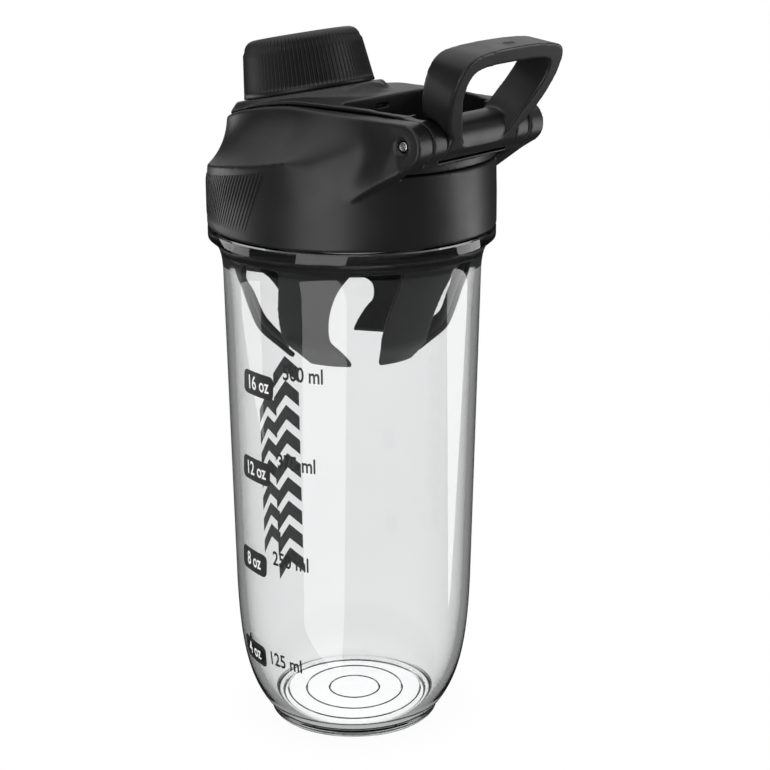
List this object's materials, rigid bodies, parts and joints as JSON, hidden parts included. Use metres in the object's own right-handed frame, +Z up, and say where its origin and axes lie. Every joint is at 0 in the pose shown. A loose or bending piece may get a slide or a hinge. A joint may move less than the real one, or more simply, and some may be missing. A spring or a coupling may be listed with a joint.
{
  "type": "protein shaker bottle",
  "caption": "Clear tapered shaker bottle with a black screw lid, ribbed flip-up spout cap, swinging carry loop and hanging claw mixer.",
  "frame": {"origin": "on the bottle's axis, at the flat underside of its base, which is 1 mm above the surface it stands on, less that 1 mm: the resting plane", "axes": "+Z up along the bottle's axis, -X towards the spout, +X towards the hinge and carry loop"},
  "size_m": [0.1091, 0.09, 0.2248],
  "materials": {
    "cup": "clear, glossy",
    "lid": "fine satin grain",
    "lid_seal": "matt silicone",
    "mixer": "smooth satin",
    "flip_arm": "fine satin grain",
    "spout_cap": "fine satin grain",
    "cap_core": "fine satin grain",
    "cap_seal": "matt silicone",
    "hinge_pin": "bright turned steel",
    "carry_loop": "fine satin grain"
  },
  "bodies": {
    "cup": {"cup": "cup"},
    "seal": {"lid_seal": "lid_seal"},
    "lid": {"lid": "lid", "mixer": "mixer", "hinge_pin": "hinge_pin"},
    "arm": {"flip_arm": "flip_arm"},
    "cap_disc": {"cap_seal": "cap_seal"},
    "cap": {"spout_cap": "spout_cap", "cap_core": "cap_core"},
    "loop": {"carry_loop": "carry_loop"}
  },
  "joints": [
    {"name": "lid_lift", "type": "slide", "parent": "cup", "child": "seal", "axis": [0, 0, 1], "range_m": [0, 0.0642]},
    {"name": "lid_twist", "type": "hinge", "parent": "seal", "child": "lid", "pos_m": [0, 0, 0.18], "axis": [0, 0, 1], "range_deg": [0, 1440]},
    {"name": "arm_flip", "type": "hinge", "parent": "lid", "child": "arm", "pos_m": [0.0446, 0, 0.1968], "axis": [0, 1, 0], "range_deg": [0, 101]},
    {"name": "cap_rise", "type": "slide", "parent": "arm", "child": "cap_disc", "axis": [-0.2028, 0, 0.9792], "range_m": [0, 0.0011]},
    {"name": "cap_twist", "type": "hinge", "parent": "cap_disc", "child": "cap", "pos_m": [-0.0172, 0, 0.2036], "axis": [-0.2028, 0, 0.9792], "range_deg": [0, 101]},
    {"name": "loop_swing", "type": "hinge", "parent": "arm", "child": "loop", "pos_m": [0.0446, 0, 0.1968], "axis": [0, 1, 0], "range_deg": [-25, 25]}
  ],
  "couplings": [
    {"joint": "lid_lift", "follows": "lid_twist", "m_per_rad": 0.0025465},
    {"joint": "cap_twist", "follows": "cap_rise", "rad_per_m": 1570.8}
  ]
}
